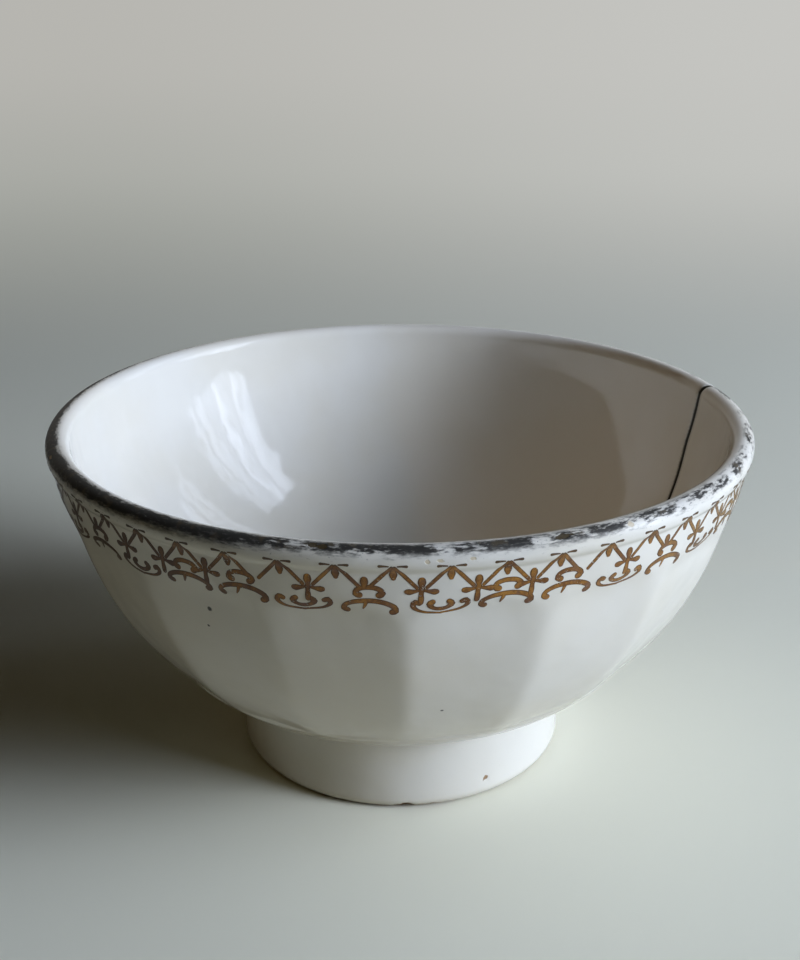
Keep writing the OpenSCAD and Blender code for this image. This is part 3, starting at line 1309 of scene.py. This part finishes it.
@dataclass
class Studio:
    """The paper, the lamps and the air of the studio, in metres.

    Args:
        depth: How far the paper goes back.
        width: How wide it is.
        front: How far it comes forward.
        wall: How high it is carried up behind.
        sweep: Radius of its curve there.
        curtains: Turn, width and power of each bright strip of the window.
        strip_h: Height of the strips' middles.
        strip_tall: How tall the strips are.
        window_out: Distance of the window from the bowl.
        daylight: Colour of the window's light.
        dim_air: Light of the air on the bowl.
        seen_air: Colour of the air past the paper.
        lamplight: Colour of the room lamp.
        room_power: Its power.
        room_at: Where it hangs.
        room_to: What it faces.
        room_cone: Degrees across its beam.
        room_soft: Its radius.
        key_turn: Turn of the window's glow from the front.
        key_h: Height of its middle.
        key_size: Its width and height.
        key_power: Its power.
    """

    depth: float = 3.2
    width: float = 7.0
    front: float = 1.2
    wall: float = 2.5
    sweep: float = 1.2
    curtains: tuple[tuple[float, float, float], ...] = (
        (66.5, 0.05, 0.95), (70.5, 0.07, 1.65), (74.8, 0.05, 0.70), (78.3, 0.06, 1.55), (82.2, 0.04, 0.50),
        (86.5, 0.08, 1.15), (92.0, 0.05, 0.65), (111.0, 0.04, 0.40), (115.5, 0.03, 0.34), (121.0, 0.05, 0.50))
    strip_h: float = 0.58
    strip_tall: float = 1.05
    window_out: float = 1.1
    daylight: Colour = (0.735, 0.825, 1.0)
    dim_air: Colour = (0.0150, 0.0118, 0.0055)
    seen_air: Colour = (0.50, 0.50, 0.47)
    lamplight: Colour = (1.0, 0.50, 0.02)
    room_power: float = 1.5
    room_at: Place = (-0.60, 0.02, 0.50)
    room_to: Place = (0.045, 0.015, 0.036)
    room_cone: float = 12.0
    room_soft: float = 0.03
    key_turn: float = 68.0
    key_h: float = 0.42
    key_size: tuple[float, float] = (0.42, 0.50)
    key_power: float = 12.9

    def paper(self) -> bpy.types.Object:
        """Lays the floor and carries it up in a sweep behind.

        Returns:
            The paper.
        """
        clear_selection()
        bpy.ops.mesh.primitive_plane_add(size=1.0)
        floor = bpy.context.object
        floor.name = floor.data.name = "paper_floor"
        spots = spots_of(floor)
        spots[:, 0] *= self.width
        spots[:, 1] = np.where(spots[:, 1] > 0, self.depth, -self.front) / MM
        move_spots(floor, spots)
        bpy.ops.object.mode_set(mode="EDIT")
        bpy.ops.mesh.select_all(action="DESELECT")
        bpy.ops.object.mode_set(mode="OBJECT")
        for edge in floor.data.edges:
            edge.select = all(floor.data.vertices[v].co.y > 0 for v in edge.vertices)
        bpy.ops.object.mode_set(mode="EDIT")
        bpy.ops.mesh.select_mode(type="EDGE")
        bpy.ops.mesh.extrude_region_move(TRANSFORM_OT_translate={"value": (0, 0.0, self.wall)})
        bpy.ops.object.mode_set(mode="OBJECT")
        sweep = floor.modifiers.new("sweep", "BEVEL")
        sweep.width, sweep.segments, sweep.limit_method = self.sweep, 16, "ANGLE"
        bpy.ops.object.modifier_apply(modifier=sweep.name)
        bpy.ops.object.shade_smooth()
        floor.data.materials.append(PalePaper().material())
        return floor

    @staticmethod
    def lamp(name: str, at: Sequence[float], to: Sequence[float], size: tuple[float, float],
             power: float, colour: Colour) -> bpy.types.Object:
        """Hangs one soft lamp.

        Args:
            name: The lamp's name.
            at: Where it hangs.
            to: What it faces.
            size: Its width and height.
            power: Its power in watts.
            colour: Its colour.

        Returns:
            The lamp.
        """
        bpy.ops.object.light_add(type="AREA", location=at)
        lamp = bpy.context.object
        lamp.name = lamp.data.name = name
        lamp.data.shape = "RECTANGLE"
        lamp.data.size, lamp.data.size_y = size
        lamp.data.energy, lamp.data.color = power, colour
        way = Vector(to) - Vector(at)
        lamp.rotation_euler = way.to_track_quat("-Z", "Y").to_euler()
        return lamp

    def window(self, name: str, turn: float, height: float, size: tuple[float, float],
               power: float) -> bpy.types.Object:
        """Hangs one upright piece of the window on the right.

        Args:
            name: The lamp's name.
            turn: Degrees round from the front.
            height: Height of its middle.
            size: Its width and height.
            power: Its power in watts.

        Returns:
            The lamp.
        """
        facing = Vector((math.sin(math.radians(turn)), -math.cos(math.radians(turn)), 0))
        at = facing * self.window_out + Vector((0, 0, height))
        return self.lamp(name, at, at - facing - Vector((0, 0, height / 1.3)), size, power, self.daylight)

    def room_lamp(self) -> None:
        """Aims a weak warm lamp over the left of the lip at the shaded inside wall."""
        bpy.ops.object.light_add(type="SPOT", location=self.room_at)
        lamp = bpy.context.object
        lamp.name = lamp.data.name = "room_lamp"
        lamp.data.energy, lamp.data.color = self.room_power, self.lamplight
        lamp.data.spot_size, lamp.data.spot_blend = math.radians(self.room_cone), 1.0
        lamp.data.shadow_soft_size = self.room_soft
        way = Vector(self.room_to) - lamp.location
        lamp.rotation_euler = way.to_track_quat("-Z", "Y").to_euler()
        lamp.visible_glossy = False

    def light(self) -> None:
        """Hangs the window light on the right and the warm room lamp, and sets the air's light."""
        clear_selection()
        for i, (turn, width, power) in enumerate(self.curtains):
            self.window(f"window_strip_{i}", turn, self.strip_h, (width, self.strip_tall), power)
        key = self.window("window_glow", self.key_turn, self.key_h, self.key_size, self.key_power)
        key.visible_glossy = False
        self.room_lamp()
        world = bpy.data.worlds.new("studio_air")
        bpy.context.scene.world = world
        paint = Paint(world)
        colour = paint.mix(paint.add("LightPath", out="Is Camera Ray"), self.dim_air, self.seen_air)
        paint.add("OutputWorld", {}, {"Surface": paint.add("Background", {}, {"Color": colour})})


@dataclass
class Viewpoint:
    """Where the camera stands, in metres and degrees.

    Args:
        back: Distance in front of the bowl's axis.
        up: Height.
        dip: Degrees that it looks down.
        roll: Degrees that it is turned on its own axis.
        lens: Length of its lens, in millimetres.
    """

    back: float = 0.2510
    up: float = 0.1545
    dip: float = 21.24
    roll: float = -0.193
    lens: float = 48.75

    def set_camera(self) -> None:
        """Makes the scene's camera."""
        clear_selection()
        bpy.ops.object.camera_add(location=(0.0, -self.back, self.up))
        camera = bpy.context.object
        camera.name = camera.data.name = "view"
        dip, roll = math.radians(self.dip), math.radians(self.roll)
        ahead = Vector((0, math.cos(dip), -math.sin(dip)))
        right, above = Vector((1, 0, 0)), Vector((0, math.sin(dip), math.cos(dip)))
        side = right * math.cos(roll) + above * math.sin(roll)
        above = above * math.cos(roll) - right * math.sin(roll)
        camera.rotation_euler = Matrix((side, above, -ahead)).transposed().to_euler()
        camera.data.lens, camera.data.sensor_width = self.lens, 36.0
        camera.data.clip_start, camera.data.clip_end = 0.01, 50.0
        bpy.context.scene.camera = camera


# Turn and size of each chip in the foot's edge, and the radius that they lie at
FOOT_CHIPS = ((-1.0, 1.2), (2.0, 1.6), (11.0, 1.0), (231.0, 1.3))
FOOT_CHIPS_R = 33.8
SIDE_PIT = Chip(29.5, 34.6, 4.4, 0.65)
# Turn, height and size of each speck in the glaze
SPECKS = ((-28.7, 56.6, 0.50), (-29.9, 52.6, 0.28), (7.1, 36.4, 0.30))


def main() -> None:
    """Builds the bowl, its frieze, the studio and the camera."""
    low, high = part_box("bowl")
    form = BowlForm(rim_r=(high[0] - low[0]) / 2 / MM, height=high[2] / MM)
    crack = CrackLine()
    chips = tuple(Chip(turn, FOOT_CHIPS_R, 0.0, size) for turn, size in FOOT_CHIPS) + (SIDE_PIT,)
    specks = tuple(Chip(turn, float(form.outside(turn, height)), height, size)
                   for turn, height, size in SPECKS)
    Viewpoint().set_camera()
    body = BowlBody(form, crack, chips, specks).build()
    LOG.info("%s: %d faces", body.name, len(body.data.polygons))
    frieze = GiltFrieze(form).build()
    LOG.info("%s: %d faces", frieze.name, len(frieze.data.polygons))
    studio = Studio()
    studio.paper()
    studio.light()
    bpy.context.scene.view_settings.view_transform = "Standard"


if __name__ == "__main__":
    logging.basicConfig(level=logging.INFO, format="%(name)s: %(message)s")
    main()
